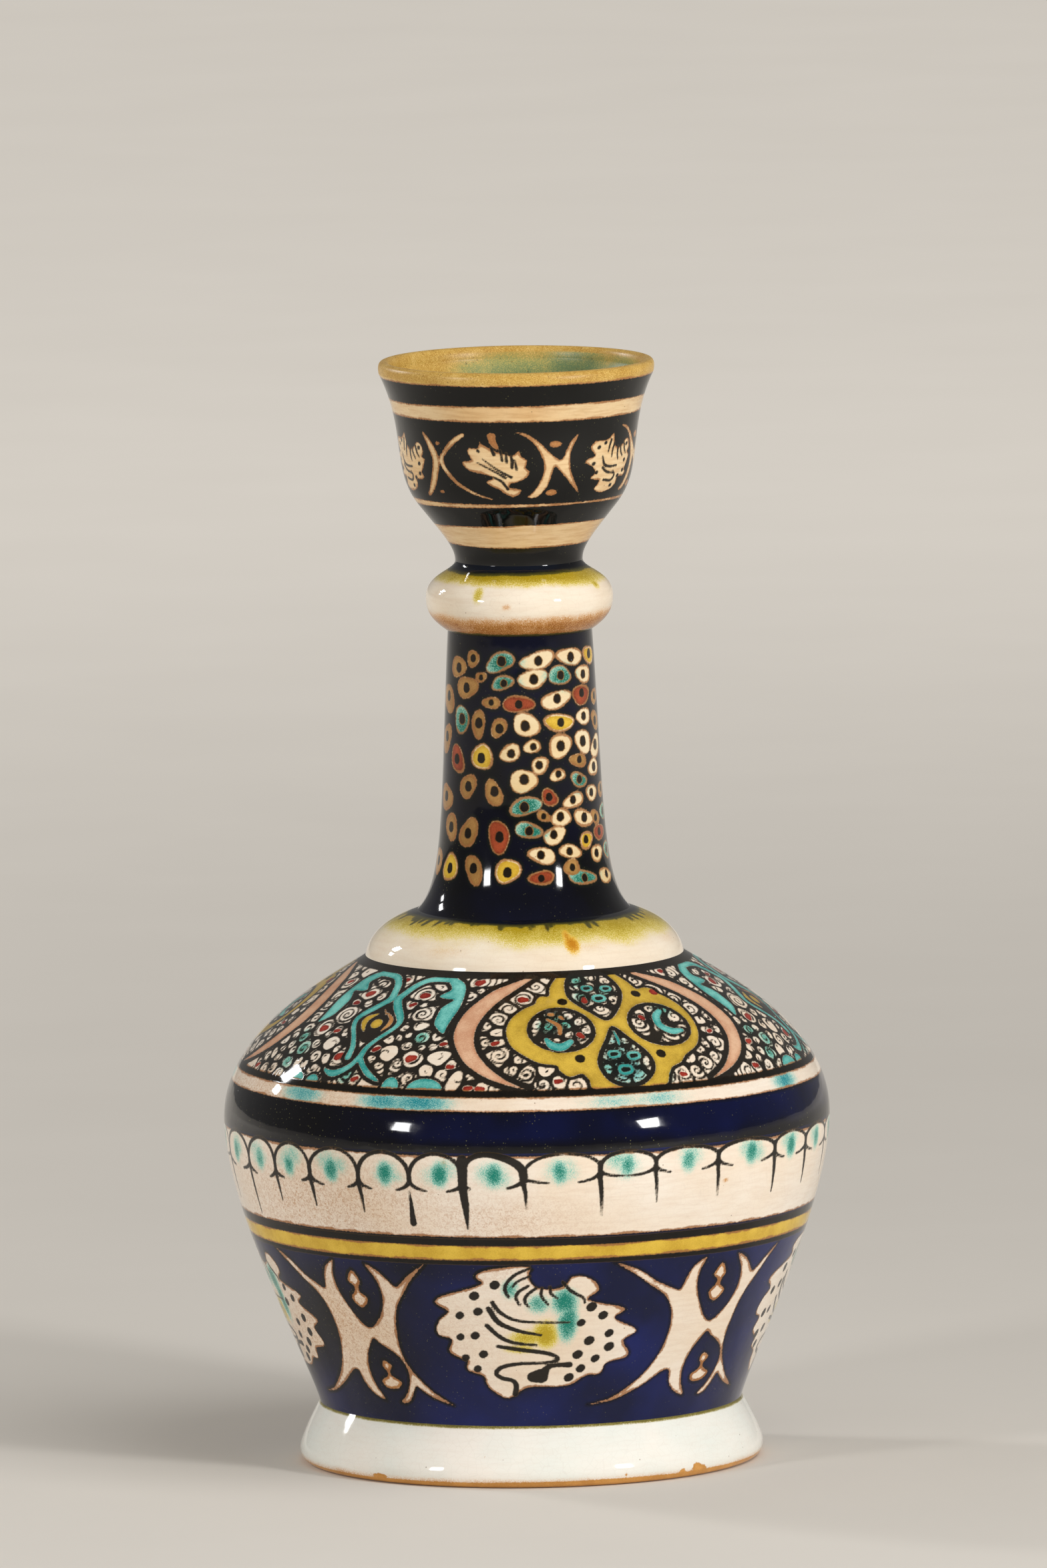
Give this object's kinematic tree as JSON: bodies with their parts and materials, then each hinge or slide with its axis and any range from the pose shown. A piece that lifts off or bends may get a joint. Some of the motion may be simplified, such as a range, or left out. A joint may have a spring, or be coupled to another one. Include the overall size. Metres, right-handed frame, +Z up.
{
  "type": "ceramic decanter",
  "caption": "Tall glazed ceramic bottle with a cup mouth, a hollow knop, a slender neck, a collar, a full body and a spreading foot.",
  "frame": {"origin": "middle of the foot's resting face, on the surface the bottle stands on", "axes": "+Z up along the bottle's axis, towards the lip"},
  "size_m": [0.1646, 0.1646, 0.3],
  "materials": {
    "painted_glaze": "clear gloss glaze over painted cobalt, black, turquoise, yellow and red",
    "navy_glaze": "gloss, dark cobalt with cream spots",
    "white_glaze": "gloss, faintly green white",
    "clay_slip": "dry, unglazed"
  },
  "bodies": {
    "root": {"foot_ring": "white_glaze", "foot_slip": "clay_slip", "lower_bowl": "painted_glaze", "belly_slip": "clay_slip", "shoulder": "painted_glaze", "collar_slip": "clay_slip", "collar": "white_glaze", "neck_slip": "clay_slip", "neck": "navy_glaze", "knop_slip": "clay_slip", "knop": "white_glaze", "cup_slip": "clay_slip", "mouth_cup": "painted_glaze"}
  },
  "joints": []
}
